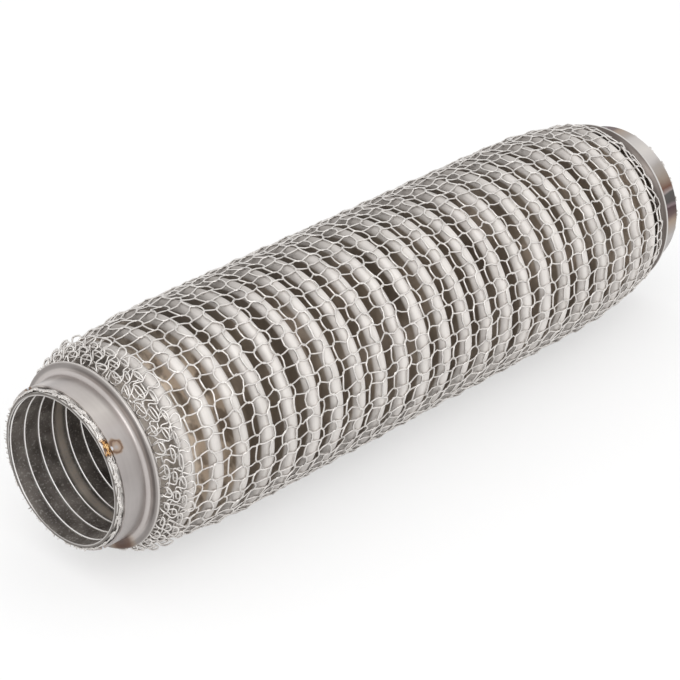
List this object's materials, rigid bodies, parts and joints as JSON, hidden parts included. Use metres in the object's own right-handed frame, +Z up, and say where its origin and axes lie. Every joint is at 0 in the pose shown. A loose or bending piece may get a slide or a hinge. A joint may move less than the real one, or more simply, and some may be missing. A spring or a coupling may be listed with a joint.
{
  "type": "exhaust flex pipe",
  "caption": "Flexible exhaust pipe: strip-wound inner hose, corrugated bellows, knitted wire sleeve and a pressed collar on each end.",
  "frame": {"origin": "on the floor under the middle of the pipe", "axes": "+X along the pipe towards its rear mouth, +Z up from the floor it lies on"},
  "size_m": [0.28, 0.0754, 0.0752],
  "materials": {
    "liner": "dull rolled stainless strip, darker in the grooves",
    "bellows": "bright formed stainless sheet with a warm cast in the valleys",
    "wire": "drawn stainless wire, knitted",
    "collar": "satin pressed stainless sheet with heat tint at the tack welds"
  },
  "bodies": {
    "root": {"interlock_liner": "liner", "bellows": "bellows", "knit_sleeve": "wire", "front_collar": "collar", "rear_collar": "collar"}
  },
  "joints": []
}
